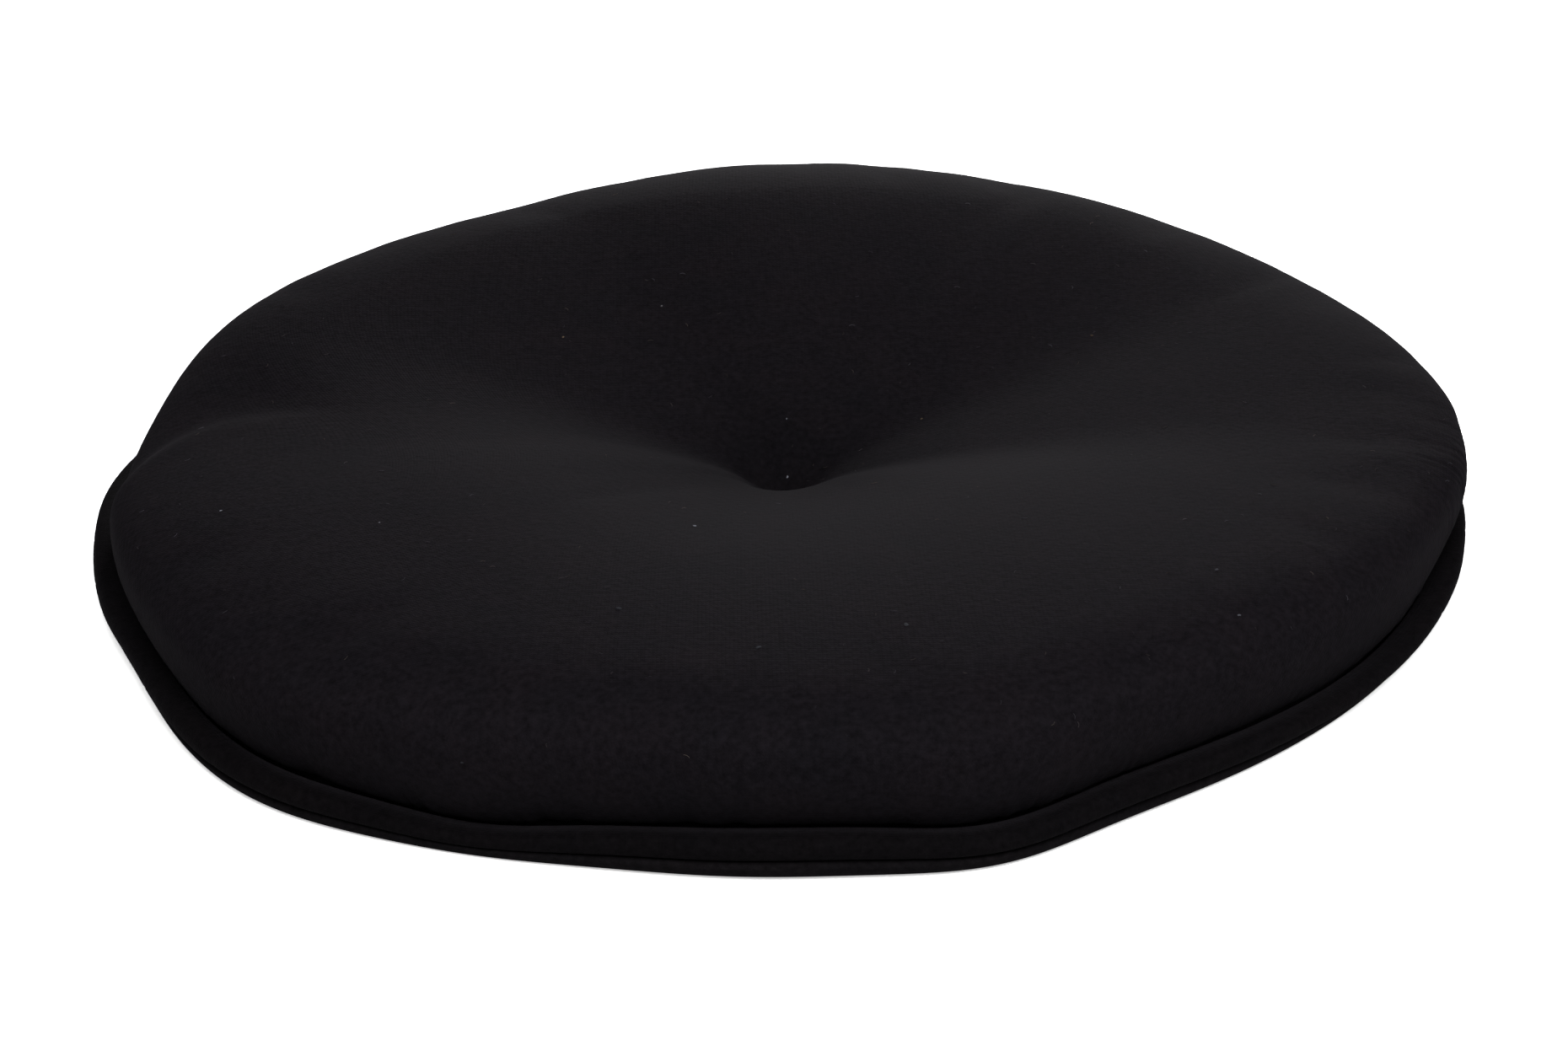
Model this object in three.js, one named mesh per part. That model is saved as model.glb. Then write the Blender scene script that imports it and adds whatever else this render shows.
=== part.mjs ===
// A round chair cushion of black stretch knit, lying on its back.
// Its filled top is pulled down in the middle, swells to a crest and a shoulder, and is drawn in to a seam
// near the floor. A welt is sewn into that seam, and the bottom panel is turned up to the welt's lower edge.
// Millimetres, +Z up. The origin is on the floor under the middle. -Y is the front and +X the right.

import * as THREE from 'three';

// Driving sizes
const ROUND_FACETS = 96; // facets round the rim
const SEWN_GAP = 0.3; // between two pieces that are sewn together
const DIMPLE_X = 1.8; // the dimple lies a little off the middle, to the right
const DIMPLE_Y = -4.5; // and to the front
const DIMPLE_BOTTOM = 15; // the height of its bottom
const HOLE_RADIUS = 12; // of the steep part of the dimple
const HOLE_SHARE = 0.2; // the steep part's share of the fall from the crest to the bottom
const GIRTH_SHARE = 0.3; // how far up the widest line is, from the seam to the crest
const WELT_DEPTH = 8; // from the welt's outer edge in to the seam
const PANEL_THICK = 2.4; // the bottom panel
const PANEL_SHARE = 0.46; // how far up to the seam the bottom panel turns; the welt takes the rest
const CORNER_SHARE = 0.8; // how much of that turned-up edge is its rounded corner

// Steps along each stretch of a section
const DIMPLE_STEPS = 14;
const DIMPLE_CROWDING = 1.4; // more than 1 sets the steps closer together near the bottom
const SHOULDER_STEPS = 9;
const TUCK_STEPS = 4;
const WELT_STEPS = 6;
const CORNER_STEPS = 5;

// The cushion all round, a row for every 30 degrees of turn: 0 is the front, 90 the right and 180 the back.
// crest and crown are the radius and height of the crest. dish is how round the fall from it to the dimple
// is: 1 is a straight cone, more is rounder. square is how square the shoulder outside it is: 2 is an
// ellipse, more is squarer. girth is the widest radius of the top, welt and foot are the outer radii of the
// welt and the bottom panel, and seam is the height of the seam over the welt.
const RIM = [
  { turn: 0, crest: 148, crown: 46, dish: 2.1, square: 3.4, girth: 190, welt: 190, foot: 189, seam: 12.5 },
  { turn: 30, crest: 150, crown: 45.3, dish: 2.2, square: 3.5, girth: 189, welt: 189, foot: 187, seam: 11 },
  { turn: 60, crest: 149, crown: 41.2, dish: 2.6, square: 3.3, girth: 192, welt: 194, foot: 191, seam: 8 },
  { turn: 90, crest: 150, crown: 40.8, dish: 2.2, square: 3, girth: 200, welt: 198, foot: 196, seam: 9 },
  { turn: 120, crest: 162, crown: 37.5, dish: 1.35, square: 2.3, girth: 199, welt: 198, foot: 197, seam: 12 },
  { turn: 150, crest: 164, crown: 44, dish: 1.45, square: 2.4, girth: 198, welt: 198, foot: 198, seam: 12 },
  { turn: 180, crest: 150, crown: 51.2, dish: 1.3, square: 2.2, girth: 200, welt: 198, foot: 198, seam: 12 },
  { turn: 210, crest: 158, crown: 47.8, dish: 1.25, square: 2, girth: 200, welt: 198, foot: 197, seam: 12 },
  { turn: 240, crest: 160, crown: 46.6, dish: 1.3, square: 2.6, girth: 202, welt: 202, foot: 199, seam: 12 },
  { turn: 270, crest: 120, crown: 47.5, dish: 2, square: 2.8, girth: 196, welt: 201, foot: 199, seam: 12 },
  { turn: 300, crest: 116, crown: 46.5, dish: 1.8, square: 2.9, girth: 195, welt: 198, foot: 196, seam: 12 },
  { turn: 330, crest: 135, crown: 46.4, dish: 2, square: 3.2, girth: 190, welt: 191, foot: 190, seam: 9 },
];

// Where the filling has shifted: a bell on the rim, at its turn and as wide as its spread in degrees.
// top and base are how far the top and the two pieces under it bulge. drop is how far the seam sinks, and
// sink how far the crest does: a soft valley crosses the cushion there, from the rim to the dimple.
const LUMPS = [
  { where: 'front, swollen', turn: 15, spread: 9, top: 6, base: 6, drop: 2, sink: 0 },
  { where: 'right, drawn in', turn: 72, spread: 9, top: -2, base: 0, drop: 0, sink: 0 },
  { where: 'right, creased', turn: 87, spread: 21, top: 0, base: 0, drop: 0, sink: 6.2 },
  { where: 'left, folded in', turn: 257, spread: 13, top: -4, base: 5.5, drop: 0, sink: 0 },
  { where: 'left, creased', turn: 263, spread: 25, top: 0, base: 0, drop: 0, sink: 7 },
  { where: 'left front, slack', turn: 290, spread: 10, top: -1, base: -3, drop: 0, sink: 0 },
  { where: 'left front, swollen', turn: 314, spread: 12, top: 5, base: 5, drop: 0, sink: 0 },
  { where: 'front left, sunk', turn: 333, spread: 8, top: 2, base: 0, drop: 2.5, sink: 0 },
  { where: 'front, slack', turn: 344, spread: 12, top: -3, base: -3, drop: 0, sink: 0 },
];

// A column's value at a turn in radians, on a smooth closed curve through its rows
function rimValue(column, turn) {
  const place = (turn / (2 * Math.PI)) * RIM.length;
  const row = Math.floor(place);
  const t = place - row;
  const at = (step) => RIM[(row + step + RIM.length) % RIM.length][column];
  const [before, here, next, after] = [-1, 0, 1, 2].map(at);
  const bend = 2 * before - 5 * here + 4 * next - after;
  const twist = 3 * (here - next) + after - before;
  return here + 0.5 * t * (next - before + t * (bend + t * twist));
}

// How strongly a lump is felt at a turn in radians, 1 in its middle
function bell(lump, turn) {
  const past = THREE.MathUtils.radToDeg(turn) - lump.turn;
  const away = THREE.MathUtils.euclideanModulo(past + 180, 360) - 180;
  return Math.exp(-((away / lump.spread) ** 2));
}

// All the sizes of a section at a turn, with the lumps in them
function rimAt(turn) {
  const columns = Object.keys(RIM[0]).filter((column) => column !== 'turn');
  const rim = Object.fromEntries(columns.map((column) => [column, rimValue(column, turn)]));
  for (const lump of LUMPS) {
    const share = bell(lump, turn);
    rim.girth += share * lump.top;
    rim.welt += share * lump.base;
    rim.foot += share * lump.base;
    rim.seam -= share * lump.drop;
    rim.crown -= share * lump.sink;
  }
  rim.sewn = rim.welt - WELT_DEPTH;
  rim.edge = PANEL_SHARE * rim.seam;
  rim.widest = rim.seam + GIRTH_SHARE * (rim.crown - rim.seam);
  return rim;
}

// Shares from 0 to 1 in equal steps, to walk along one stretch of a section
function shares(steps) {
  return Array.from({ length: steps + 1 }, (_, step) => step / steps);
}

// From the bottom of the dimple out to the crest: a steep hole in a wide shallow dish
function dimpleStretch(rim) {
  return shares(DIMPLE_STEPS).map((share) => {
    const radius = rim.crest * share ** DIMPLE_CROWDING;
    const hole = 1 - Math.exp(-((radius / HOLE_RADIUS) ** 2));
    const dish = 1 - (1 - radius / rim.crest) ** rim.dish;
    const rise = HOLE_SHARE * hole + (1 - HOLE_SHARE) * dish;
    return [radius, DIMPLE_BOTTOM + (rim.crown - DIMPLE_BOTTOM) * rise];
  });
}

// From the crest over the shoulder to the widest line
function shoulderStretch(rim) {
  const power = 2 / rim.square;
  return shares(SHOULDER_STEPS).slice(1).map((share) => {
    const over = (share * Math.PI) / 2;
    return [
      rim.crest + (rim.girth - rim.crest) * Math.sin(over) ** power,
      rim.widest + (rim.crown - rim.widest) * Math.cos(over) ** power,
    ];
  });
}

// From the widest line in under the top to the seam
function tuckStretch(rim) {
  const seam = rim.seam + SEWN_GAP;
  return shares(TUCK_STEPS).slice(1).map((share) => {
    const under = (share * Math.PI) / 2;
    return [
      rim.sewn + (rim.girth - rim.sewn) * Math.cos(under),
      rim.widest - (rim.widest - seam) * Math.sin(under),
    ];
  });
}

// The filled top in section, with the part of it that reaches down inside the welt to the bottom panel
function padSection(rim) {
  const inside = rim.sewn - SEWN_GAP;
  const floor = PANEL_THICK + SEWN_GAP;
  return [
    ...dimpleStretch(rim),
    ...shoulderStretch(rim),
    ...tuckStretch(rim),
    [inside, rim.seam + SEWN_GAP],
    [inside, floor],
    [0, floor],
  ];
}

// The welt in section, a soft roll that is flat on its inner side
function weltSection(rim) {
  const top = rim.seam;
  const bottom = rim.edge + SEWN_GAP;
  const half = (top - bottom) / 2;
  const roll = shares(WELT_STEPS).map((share) => {
    const round = (share - 0.5) * Math.PI;
    return [rim.welt - half * (1 - Math.cos(round)), (top + bottom) / 2 - half * Math.sin(round)];
  });
  return [[rim.sewn, top], ...roll, [rim.sewn, bottom], [rim.sewn, top]];
}

// The bottom panel in section, flat on the floor, with its edge turned up round a soft corner
function panelSection(rim) {
  const round = CORNER_SHARE * rim.edge;
  const corner = shares(CORNER_STEPS).map((share) => {
    const under = (share * Math.PI) / 2;
    return [rim.foot - round * (1 - Math.cos(under)), round * (1 - Math.sin(under))];
  });
  const lip = rim.foot - (rim.edge - round);
  return [
    [0, PANEL_THICK],
    [rim.sewn, PANEL_THICK],
    [rim.sewn, rim.edge],
    [lip, rim.edge],
    ...corner,
    [0, 0],
  ];
}

// A lathe makes the round solid, and each of its profiles is then redrawn as the section at its own turn
function roundSolid(name, section, material) {
  const fromBelow = (turn) => section(rimAt(turn)).reverse();
  const profile = fromBelow(0).map(([radius, height]) => new THREE.Vector2(radius, height));
  const geometry = new THREE.LatheGeometry(profile, ROUND_FACETS);
  const position = geometry.getAttribute('position');
  for (let facet = 0; facet <= ROUND_FACETS; facet += 1) {
    const turn = ((facet % ROUND_FACETS) / ROUND_FACETS) * 2 * Math.PI;
    fromBelow(turn).forEach(([radius, height], point) => {
      const across = DIMPLE_X + radius * Math.sin(turn);
      const back = DIMPLE_Y - radius * Math.cos(turn);
      position.setXYZ(facet * profile.length + point, across, back, height);
    });
  }
  geometry.computeVertexNormals();
  const mesh = new THREE.Mesh(geometry, material);
  mesh.name = name;
  return mesh;
}

const knit = new THREE.MeshStandardMaterial({ color: 0x1b181c, roughness: 0.92, metalness: 0 });

const cushion = new THREE.Group();
cushion.add(roundSolid('seat_pad', padSection, knit));
cushion.add(roundSolid('edge_welt', weltSection, knit.clone()));
cushion.add(roundSolid('bottom_panel', panelSection, knit.clone()));

export default cushion;
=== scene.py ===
"""A round seat cushion in black stretch knit, lying on its back on a pale floor under soft studio light.

The filled top is pulled down in the middle to a dimple, swells to a crest and a round shoulder, and is drawn
in to a low seam. A welt is sewn into that seam, and the bottom panel is turned up to the welt's lower edge.
The tables are in millimetres and degrees, and all that is built from them is in metres. -Y is the front, +X
the right and +Z up. A turn runs from the front over the right.
"""

from __future__ import annotations

import logging
import math
from dataclasses import dataclass, field
from enum import Enum

import bpy
import numpy as np
from mathutils import Matrix, Vector, kdtree
from mathutils.bvhtree import BVHTree

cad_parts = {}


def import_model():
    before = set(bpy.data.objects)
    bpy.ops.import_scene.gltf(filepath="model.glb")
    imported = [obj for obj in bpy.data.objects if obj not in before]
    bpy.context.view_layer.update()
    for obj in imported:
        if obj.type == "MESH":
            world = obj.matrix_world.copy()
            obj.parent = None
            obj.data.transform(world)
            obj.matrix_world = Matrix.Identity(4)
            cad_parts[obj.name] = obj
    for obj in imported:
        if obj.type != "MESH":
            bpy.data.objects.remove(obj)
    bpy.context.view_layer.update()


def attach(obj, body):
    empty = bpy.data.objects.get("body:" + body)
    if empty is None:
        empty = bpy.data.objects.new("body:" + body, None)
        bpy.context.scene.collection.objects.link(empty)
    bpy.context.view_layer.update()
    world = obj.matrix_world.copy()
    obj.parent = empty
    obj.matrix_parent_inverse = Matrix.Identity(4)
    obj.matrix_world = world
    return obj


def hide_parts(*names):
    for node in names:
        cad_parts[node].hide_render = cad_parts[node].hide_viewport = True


LOG = logging.getLogger("cushion")
MM = 0.001
TINY = 1e-12  # keeps a division away from zero


@dataclass(frozen=True)
class RimRow:
    """The rim at one turn, in degrees and millimetres.

    crest and crown are the radius and height of the crest. dish is how round the fall from it to the dimple
    is: 1 is a straight cone, more is rounder. square is how square the shoulder outside it is: 2 is an
    ellipse, more is squarer. girth is the widest radius of the top, welt and foot are the outer radii of the
    welt and the bottom panel, and seam is the height of the seam over the welt.
    """

    turn: float
    crest: float
    crown: float
    dish: float
    square: float
    girth: float
    welt: float
    foot: float
    seam: float


@dataclass(frozen=True)
class Lump:
    """A place where the filling has shifted, as a bell on the rim, in degrees and millimetres.

    top and base are how far the top and the two pieces under it bulge. drop is how far the seam sinks, and
    sink how far the crest does: a soft valley crosses the cushion there, from the rim to the dimple.
    """

    where: str
    turn: float
    spread: float
    top: float
    base: float
    drop: float
    sink: float


@dataclass(frozen=True)
class Pucker:
    """A short valley that the seam draws into the cover, in degrees and millimetres."""

    turn: float
    width: float
    length: float
    depth: float


@dataclass(frozen=True)
class GatherZone:
    """A stretch of the rim where the cover is gathered more than elsewhere, in degrees and millimetres."""

    turn: float
    spread: float
    depth: float
    reach: float


@dataclass(frozen=True)
class Fold:
    """A fold that runs in from the rim, with the cover in front of it lying over the cover behind it.

    turn is where it ends and lean is how many degrees further on it comes to the seam. behind and before are
    how wide its two sides are in degrees, and lip is how sharply they meet. length is how far from the seam
    it reaches, and depth is how far the side behind lies lower, both in millimetres.
    """

    turn: float
    lean: float
    behind: float
    before: float
    lip: float
    length: float
    depth: float


@dataclass(frozen=True)
class LintSpeck:
    """A speck of lint on the cover, by the photo's pixel where it is seen.

    column and row are in the 1860 x 1240 frame. length is in millimetres. warmth is 0 for a bluish white and
    1 for a tan, and pale is 1 for loose fluff and less where it is matted in.
    """

    column: float
    row: float
    length: float
    warmth: float
    pale: float


RIM = (
    RimRow(0, 148, 46, 2.1, 3.4, 190, 190, 189, 12.5),
    RimRow(30, 150, 45.3, 2.2, 3.5, 189, 189, 187, 11),
    RimRow(60, 149, 41.2, 2.6, 3.3, 192, 194, 191, 8),
    RimRow(90, 150, 40.8, 2.2, 3, 200, 198, 196, 9),
    RimRow(120, 162, 37.5, 1.35, 2.3, 199, 198, 197, 12),
    RimRow(150, 164, 44, 1.45, 2.4, 198, 198, 198, 12),
    RimRow(180, 150, 51.2, 1.3, 2.2, 200, 198, 198, 12),
    RimRow(210, 158, 47.8, 1.25, 2, 200, 198, 197, 12),
    RimRow(240, 160, 46.6, 1.3, 2.6, 202, 202, 199, 12),
    RimRow(270, 120, 47.5, 2, 2.8, 196, 201, 199, 12),
    RimRow(300, 116, 46.5, 1.8, 2.9, 195, 198, 196, 12),
    RimRow(330, 135, 46.4, 2, 3.2, 190, 191, 190, 9),
)

LUMPS = (
    Lump("front, swollen", 15, 9, 6, 6, 2, 0),
    Lump("right, drawn in", 72, 9, -2, 0, 0, 0),
    Lump("right, creased", 87, 21, 0, 0, 0, 6.2),
    Lump("left, folded in", 257, 13, -4, 5.5, 0, 0),
    Lump("left, creased", 263, 25, 0, 0, 0, 7),
    Lump("left front, slack", 290, 10, -1, -3, 0, 0),
    Lump("left front, swollen", 314, 12, 5, 5, 0, 0),
    Lump("front left, sunk", 333, 8, 2, 0, 2.5, 0),
    Lump("front, slack", 344, 12, -3, -3, 0, 0),
)


def column_at(rows: tuple[RimRow, ...], column: str, turn: np.ndarray) -> np.ndarray:
    """A column's value at some turns, on a smooth closed curve through its rows.

    Args:
        rows: the rim's rows, evenly spaced from the front over the right.
        column: the name of the column.
        turn: the turns in radians.

    Returns:
        The values in the table's own unit, one for each turn.
    """
    values = np.array([getattr(row, column) for row in rows], float)
    place = turn / (2 * math.pi) * len(rows)
    row = np.floor(place).astype(int)
    t = place - row
    before, here, after, beyond = (values[(row + step) % len(rows)] for step in (-1, 0, 1, 2))
    bend = 2 * before - 5 * here + 4 * after - beyond
    twist = 3 * (here - after) + beyond - before
    return here + 0.5 * t * (after - before + t * (bend + t * twist))


def degrees_past(turn: np.ndarray, middle: float) -> np.ndarray:
    """How many degrees each turn, given in radians, lies past a turn given in degrees, from -180 to 180."""
    return (np.degrees(turn) - middle + 180) % 360 - 180


def bell(turn: np.ndarray, middle: float, spread: float) -> np.ndarray:
    """A bell on the rim, 1 at its middle; the middle and the spread are in degrees, the turns in radians."""
    return np.exp(-((degrees_past(turn, middle) / spread) ** 2))


@dataclass(frozen=True)
class RimSizes:
    """The sizes of the section at each of several turns; lengths are in metres.

    Most are the rim's own columns. sewn is the radius of the welt's inner edge, edge is how high the bottom
    panel is turned up, and widest is how high the widest line of the top lies.
    """

    crest: np.ndarray
    crown: np.ndarray
    dish: np.ndarray
    square: np.ndarray
    girth: np.ndarray
    welt: np.ndarray
    foot: np.ndarray
    seam: np.ndarray
    sewn: np.ndarray
    edge: np.ndarray
    widest: np.ndarray


@dataclass(frozen=True)
class CushionForm:
    """The cushion's form as one section that changes with the turn; lengths are in metres.

    The shares are of the height from the seam to the crest for girth_share, of the fall into the dimple for
    hole_share, of the height up to the seam for panel_share, and of the turned-up edge for corner_share.
    groove is how much deeper than the welt's inner edge the top is drawn in at the seam.
    """

    dimple_x: float = 1.8 * MM
    dimple_y: float = -4.5 * MM
    dimple_bottom: float = 15 * MM
    hole_radius: float = 12 * MM
    hole_share: float = 0.2
    girth_share: float = 0.5
    groove: float = 2.5 * MM
    welt_depth: float = 8 * MM
    panel_share: float = 0.46
    corner_share: float = 0.8
    panel_thick: float = 2.4 * MM
    sewn_gap: float = 0.3 * MM

    def sizes(self, turn: np.ndarray) -> RimSizes:
        """All the sizes of the section at some turns, with the lumps in them.

        Args:
            turn: the turns in radians.

        Returns:
            The sizes in metres, as arrays like turn.
        """
        names = ("crest", "crown", "girth", "welt", "foot", "seam")
        rim = {name: column_at(RIM, name, turn) for name in names}
        for lump in LUMPS:
            share = bell(turn, lump.turn, lump.spread)
            rim["girth"] += share * lump.top
            rim["welt"] += share * lump.base
            rim["foot"] += share * lump.base
            rim["seam"] -= share * lump.drop
            rim["crown"] -= share * lump.sink
        rim = {name: value * MM for name, value in rim.items()}
        return RimSizes(
            **rim,
            dish=column_at(RIM, "dish", turn),
            square=column_at(RIM, "square", turn),
            sewn=rim["welt"] - self.welt_depth,
            edge=self.panel_share * rim["seam"],
            widest=rim["seam"] + self.girth_share * (rim["crown"] - rim["seam"]),
        )

    def dimple(self, share: float, rim: RimSizes) -> tuple[np.ndarray, np.ndarray]:
        """The dish, from the dimple's bottom out to the crest.

        Args:
            share: the share of the way.
            rim: the section's sizes at some turns.

        Returns:
            The radius and the height at each turn.
        """
        radius = rim.crest * share
        hole = 1 - np.exp(-((radius / self.hole_radius) ** 2))
        dish = 1 - (1 - radius / rim.crest) ** rim.dish
        rise = self.hole_share * hole + (1 - self.hole_share) * dish
        return radius, self.dimple_bottom + (rim.crown - self.dimple_bottom) * rise

    def shoulder(self, share: float, rim: RimSizes) -> tuple[np.ndarray, np.ndarray]:
        """The shoulder, from the crest over to the widest line.

        Args:
            share: the share of the way.
            rim: the section's sizes at some turns.

        Returns:
            The radius and the height at each turn.
        """
        power = 2 / rim.square
        over = share * math.pi / 2
        radius = rim.crest + (rim.girth - rim.crest) * math.sin(over) ** power
        height = rim.widest + (rim.crown - rim.widest) * max(0.0, math.cos(over)) ** power
        return radius, height

    def tuck(self, share: float, rim: RimSizes) -> tuple[np.ndarray, np.ndarray]:
        """The tuck, from the widest line in under the top to the bottom of the groove.

        Args:
            share: the share of the way.
            rim: the section's sizes at some turns.

        Returns:
            The radius and the height at each turn.
        """
        under = share * math.pi / 2
        neck = rim.sewn - self.groove
        radius = neck + (rim.girth - neck) * math.cos(under)
        height = rim.widest - (rim.widest - rim.seam - self.sewn_gap) * math.sin(under)
        return radius, height

    def placed(self, turn: np.ndarray, radius: np.ndarray, height: np.ndarray | float) -> np.ndarray:
        """The points at some turns, radii and heights.

        Args:
            turn: the turns in radians.
            radius: the radii about the dimple.
            height: the heights over the floor.

        Returns:
            An array whose last axis is X, Y and Z.
        """
        across = self.dimple_x + radius * np.sin(turn)
        back = self.dimple_y - radius * np.cos(turn)
        return np.stack(np.broadcast_arrays(across, back, height), axis=-1)


class Closing(Enum):
    """How the rings of a round surface are closed."""

    POLES = "a point in the middle of the first ring and of the last"
    LOOP = "the last ring is joined to the first"


@dataclass
class RoundSurface:
    """A surface of rings round the cushion, and where each of its points lay in the flat cloth, in metres.

    points has a row for each ring and a column for each facet. flat has one more column, and one more row too
    where the rings close in a loop.
    """

    points: np.ndarray
    flat: np.ndarray
    closing: Closing

    def normals(self) -> np.ndarray:
        """The outward direction at each point, for rings that don't close in a loop.

        Returns:
            An array like points.
        """
        along = np.roll(self.points, -1, axis=1) - np.roll(self.points, 1, axis=1)
        normal = np.cross(np.gradient(self.points, axis=0), along)
        return normal / np.maximum(np.linalg.norm(normal, axis=-1, keepdims=True), TINY)

    def build(self, name: str) -> bpy.types.Object:
        """A smooth closed mesh object of the surface, with the flat cloth as its UV map.

        Args:
            name: the piece's name.

        Returns:
            The new object, linked to the scene.
        """
        rings, facets = self.points.shape[:2]
        last = rings if self.closing is Closing.LOOP else rings - 1
        ring, facet = np.meshgrid(np.arange(last), np.arange(facets), indexing="ij")
        corners = ((1, 0), (1, 1), (0, 1), (0, 0))
        spots = [((ring + out) % rings) * facets + (facet + on) % facets for out, on in corners]
        faces = np.stack(spots, axis=-1).reshape(-1, 4).tolist()
        laid = np.stack([self.flat[ring + out, facet + on] for out, on in corners], axis=2)
        uv = [laid.reshape(-1, 2)]
        vertices = self.points.reshape(-1, 3).tolist()
        if self.closing is Closing.POLES:
            for at, order in ((0, (0, 1)), (rings - 1, (1, 0))):
                vertices.append(self.points[at].mean(axis=0).tolist())
                self._add_cap(at, order, len(vertices) - 1, faces, uv)
        mesh = bpy.data.meshes.new(name)
        mesh.from_pydata(vertices, [], faces)
        cloth = np.concatenate(uv).ravel().astype(np.float32)
        mesh.uv_layers.new(name="Cloth").data.foreach_set("uv", cloth)
        mesh.shade_smooth()
        mesh.validate()
        return linked(name, mesh)

    def _add_cap(
        self, at: int, order: tuple[int, int], pole: int, faces: list[list[int]], uv: list[np.ndarray]
    ) -> None:
        """Adds the triangles from a ring to the point in its middle.

        Args:
            at: the ring's number.
            order: the steps from a facet to the two ends of its triangle's outer side, in winding order.
            pole: the number of the point in the middle.
            faces: the faces, which get the triangles.
            uv: the flat places of the faces' corners, which get the triangles' own.
        """
        facets = self.points.shape[1]
        middle = self.flat[at, :-1].mean(axis=0)
        for facet in range(facets):
            ends = [facet + step for step in order]
            faces.append([at * facets + end % facets for end in ends] + [pole])
            uv.append(np.array([self.flat[at, end] for end in ends] + [middle]))


def linked(name: str, mesh: bpy.types.Mesh) -> bpy.types.Object:
    """A new object of a mesh, linked to the scene.

    Args:
        name: the object's name.
        mesh: its mesh.

    Returns:
        The new object.
    """
    item = bpy.data.objects.new(name, mesh)
    bpy.context.scene.collection.objects.link(item)
    return item


def turns(facets: int) -> np.ndarray:
    """The turns of the facets of a ring, in radians, from the front over the right."""
    return np.arange(facets) / facets * 2 * math.pi


def cloth_disc(points: np.ndarray, turn: np.ndarray, centre: np.ndarray) -> np.ndarray:
    """Where the points of a round panel lay when it was flat: as far out as the cloth reaches there.

    Args:
        points: the panel's rings, from its centre outwards.
        turn: the facets' turns in radians.
        centre: the point in the middle of the panel.

    Returns:
        Two coordinates in metres for each point, with the first facet repeated at the end.
    """
    start = np.broadcast_to(centre, points[:1].shape)
    steps = np.linalg.norm(np.diff(np.concatenate([start, points]), axis=0), axis=-1)
    reach = np.cumsum(steps, axis=0).mean(axis=1)[:, None]
    round_turn = np.append(turn, 2 * math.pi)[None, :]
    return np.stack([reach * np.sin(round_turn), -reach * np.cos(round_turn)], axis=-1)


class NodeSheet:
    """Adds and wires the nodes of one tree.

    blend_stops are the shares at which a blend's two colours are reached.
    """

    noise_roughness = 0.6
    blend_stops = (0.3, 0.7)

    def __init__(self, tree: bpy.types.NodeTree) -> None:
        """Starts on an empty tree."""
        self.tree = tree
        self.tree.nodes.clear()

    def add(
        self, kind: str, inputs: dict[int | str, object] | None = None, **settings: object
    ) -> bpy.types.Node:
        """Adds a node, and sets or wires its inputs.

        Args:
            kind: the node's type name.
            inputs: for each input's name or number, a value or the output socket that feeds it.
            **settings: the node's own properties.

        Returns:
            The new node.
        """
        node = self.tree.nodes.new(kind)
        for name, value in settings.items():
            setattr(node, name, value)
        for key, value in (inputs or {}).items():
            if isinstance(value, bpy.types.NodeSocket):
                self.tree.links.new(value, node.inputs[key])
            else:
                node.inputs[key].default_value = value
        return node

    def math(self, operation: str, *values: object) -> bpy.types.NodeSocket:
        """A Math node's result for these values or sockets."""
        return self.add("ShaderNodeMath", dict(enumerate(values)), operation=operation).outputs[0]

    def scaled(self, vector: bpy.types.NodeSocket, by: object) -> bpy.types.NodeSocket:
        """A vector or a colour times a number or a socket."""
        return self.add("ShaderNodeVectorMath", {0: vector, "Scale": by}, operation="SCALE").outputs[0]

    def attribute(self, name: str) -> bpy.types.NodeSocket:
        """A number that the mesh brings with it, for a material."""
        return self.add("ShaderNodeAttribute", attribute_name=name).outputs["Fac"]

    def random(self, least: float, most: float, seed: object) -> bpy.types.NodeSocket:
        """A random number for each point, between two others."""
        return self.add("FunctionNodeRandomValue", {2: least, 3: most, "Seed": seed}).outputs[1]

    def noise(self, place: bpy.types.NodeSocket, scale: float, detail: float) -> bpy.types.NodeSocket:
        """A noise from 0 to 1 at a place, with scale in waves a metre."""
        inputs = {"Vector": place, "Scale": scale, "Detail": detail, "Roughness": self.noise_roughness}
        return self.add("ShaderNodeTexNoise", inputs).outputs["Fac"]

    def blend(self, share: bpy.types.NodeSocket, first: tuple, second: tuple) -> bpy.types.NodeSocket:
        """A colour between two others.

        Args:
            share: a number from 0 to 1, mostly near its middle as a noise is.
            first: the colour for a low share.
            second: the colour for a high share.

        Returns:
            The colour's socket.
        """
        ramp = self.add("ShaderNodeValToRGB", {"Fac": share})
        for stop, place, colour in zip(ramp.color_ramp.elements, self.blend_stops, (first, second)):
            stop.position = place
            stop.color = (*colour, 1.0)
        return ramp.outputs["Color"]


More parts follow.
